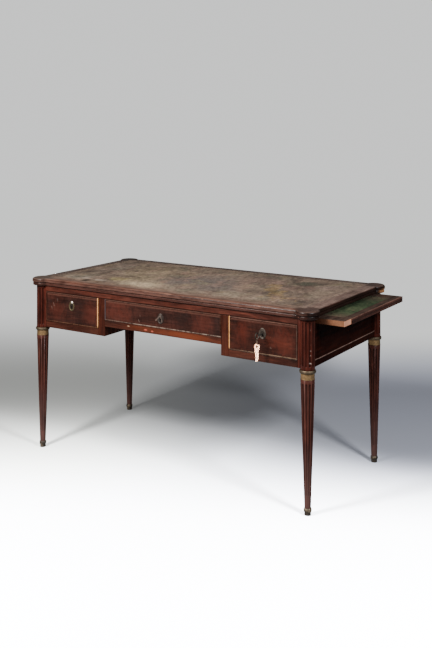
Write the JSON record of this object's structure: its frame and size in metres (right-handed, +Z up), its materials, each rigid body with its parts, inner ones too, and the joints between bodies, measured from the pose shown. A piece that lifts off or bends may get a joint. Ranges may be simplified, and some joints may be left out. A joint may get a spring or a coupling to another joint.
{
  "type": "flat-top writing desk",
  "caption": "Neoclassical flat-top mahogany writing desk with leather top, rounded corners, brass-beaded frieze drawers, pull-out end slides and tapering fluted legs.",
  "frame": {"origin": "middle of the box round the desk, on the floor, with the right slide drawn out as in the picture and without the tag and its thread", "axes": "+X towards the desk's right seen from the sitter's side of the front, +Y from the front to the back, +Z up"},
  "size_m": [1.5098, 0.743, 0.76],
  "materials": {
    "mahogany": "polished, worn",
    "oak": "raw, aged",
    "brass": "tarnished",
    "iron": "dull, worn",
    "worn_leather": "worn, matt",
    "green_leather": "worn, matt",
    "card": "plain card",
    "cotton": "twisted thread"
  },
  "bodies": {
    "carcass": {"back_panel": "mahogany", "collar_back_left": "brass", "collar_back_right": "brass", "collar_front_left": "brass", "collar_front_right": "brass", "divider_left": "mahogany", "divider_right": "mahogany", "end_panel_left": "mahogany", "end_panel_right": "mahogany", "front_top_rail": "mahogany", "leg_back_left": "mahogany", "leg_back_right": "mahogany", "leg_front_left": "mahogany", "leg_front_right": "mahogany", "runner_left": "oak", "runner_right": "oak", "sabot_back_left": "brass", "sabot_back_right": "brass", "sabot_front_left": "brass", "sabot_front_right": "brass", "sill_rail_centre": "mahogany", "sill_rail_left": "mahogany", "sill_rail_right": "mahogany", "top_frame": "mahogany", "top_panel": "oak", "writing_leather": "worn_leather"},
    "drawer_centre": {"drawer_centre_back": "oak", "drawer_centre_bead": "brass", "drawer_centre_bottom": "oak", "drawer_centre_escutcheon": "brass", "drawer_centre_front": "mahogany", "drawer_centre_lock": "iron", "drawer_centre_side_left": "oak", "drawer_centre_side_right": "oak"},
    "drawer_left": {"drawer_left_back": "oak", "drawer_left_bead": "brass", "drawer_left_bottom": "oak", "drawer_left_escutcheon": "brass", "drawer_left_front": "mahogany", "drawer_left_lock": "iron", "drawer_left_side_left": "oak", "drawer_left_side_right": "oak"},
    "drawer_right": {"drawer_right_back": "oak", "drawer_right_bead": "brass", "drawer_right_bottom": "oak", "drawer_right_escutcheon": "brass", "drawer_right_front": "mahogany", "drawer_right_lock": "iron", "drawer_right_side_left": "oak", "drawer_right_side_right": "oak", "tag": "card", "tag_thread": "cotton"},
    "key": {"key": "iron"},
    "lock_bolt": {"lock_bolt": "iron"},
    "slide_left": {"slide_left_board": "oak", "slide_left_leather": "green_leather", "slide_left_strip": "mahogany"},
    "slide_right": {"slide_right_board": "oak", "slide_right_leather": "green_leather", "slide_right_strip": "mahogany"}
  },
  "joints": [
    {"name": "drawer_left_slide", "type": "slide", "parent": "carcass", "child": "drawer_left", "axis": [0, -1, 0], "range_m": [0, 0.4]},
    {"name": "drawer_centre_slide", "type": "slide", "parent": "carcass", "child": "drawer_centre", "axis": [0, -1, 0], "range_m": [0, 0.4]},
    {"name": "drawer_right_slide", "type": "slide", "parent": "carcass", "child": "drawer_right", "axis": [0, -1, 0], "range_m": [0, 0.4]},
    {"name": "slide_right_draw", "type": "slide", "parent": "carcass", "child": "slide_right", "axis": [1, 0, 0], "range_m": [-0.122, 0.178]},
    {"name": "slide_left_draw", "type": "slide", "parent": "carcass", "child": "slide_left", "axis": [-1, 0, 0], "range_m": [0, 0.3]},
    {"name": "key_turn", "type": "hinge", "parent": "drawer_right", "child": "key", "pos_m": [0.431, -0.3163, 0.65], "axis": [0, 1, 0], "range_deg": [0, 360], "deforming": ["tag_thread"]},
    {"name": "bolt_throw", "type": "slide", "parent": "drawer_right", "child": "lock_bolt", "axis": [0, 0, 1], "range_m": [0, 0.0098]}
  ],
  "couplings": [
    {"joint": "bolt_throw", "follows": "key_turn", "m_per_rad": 0.00143}
  ]
}
